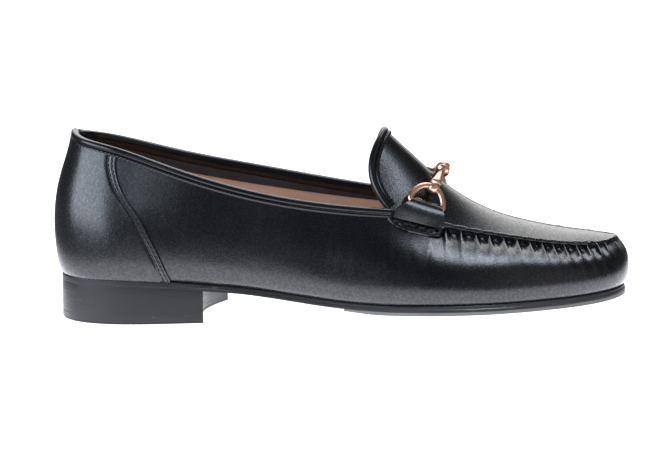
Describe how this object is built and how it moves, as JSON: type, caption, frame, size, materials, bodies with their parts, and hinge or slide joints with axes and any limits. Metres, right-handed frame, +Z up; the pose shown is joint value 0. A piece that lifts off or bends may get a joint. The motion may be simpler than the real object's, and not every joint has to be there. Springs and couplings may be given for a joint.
{
  "type": "loafer",
  "caption": "Right low-heeled slip-on loafer with a gathered apron toe, upstanding tongue, bound collar and a metal bit on leather tabs; stands on its heel and forepart.",
  "frame": {"origin": "on the floor, under the middle of the shoe's bounding box", "axes": "+X from heel to toe, +Y towards the medial (inner) side of the right foot, +Z up"},
  "size_m": [0.261, 0.091, 0.0857],
  "materials": {
    "upper_leather": "smooth black calf with a soft gloss",
    "sole_leather": "black stained sole edge and stacked heel, satin",
    "tread_rubber": "pale grey thin rubber tread, matte",
    "lining_leather": "tan lining leather, satin",
    "bit_metal": "polished rose gold plate"
  },
  "bodies": {
    "root": {"outsole": "sole_leather", "heel": "sole_leather", "half_sole": "tread_rubber", "insole": "lining_leather", "upper": "upper_leather", "heel_counter": "upper_leather", "collar_binding": "upper_leather", "tongue_binding": "upper_leather", "tab_lateral": "upper_leather", "tab_medial": "upper_leather", "bit_ring_lateral": "bit_metal", "bit_ring_medial": "bit_metal", "bit_bar_lateral": "bit_metal", "bit_bar_medial": "bit_metal", "bit_link": "bit_metal"}
  },
  "joints": []
}
